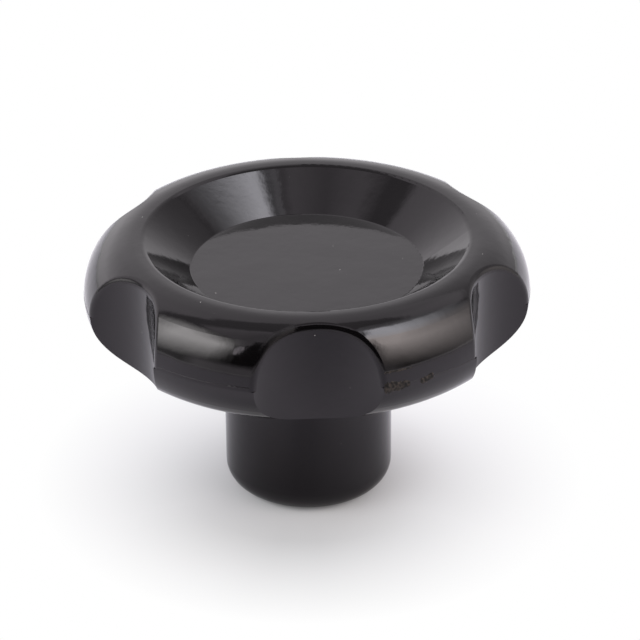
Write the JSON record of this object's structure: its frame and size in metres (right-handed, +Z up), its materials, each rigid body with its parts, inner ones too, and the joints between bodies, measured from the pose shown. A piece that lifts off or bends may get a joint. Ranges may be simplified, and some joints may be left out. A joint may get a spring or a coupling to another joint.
{
  "type": "clamping knob",
  "caption": "Glossy black scalloped clamping knob with a dished top and a plain round hub, moulded round a brass bush with a blind thread.",
  "frame": {"origin": "centre of the hub's flat bottom face", "axes": "+Z up along the knob's axis from hub to dished top, one finger scallop faces -Y"},
  "size_m": [0.06, 0.0576, 0.037],
  "materials": {
    "knob_body": "moulded gloss",
    "threaded_insert": "turned"
  },
  "bodies": {
    "root": {"knob_body": "knob_body", "threaded_insert": "threaded_insert"}
  },
  "joints": []
}
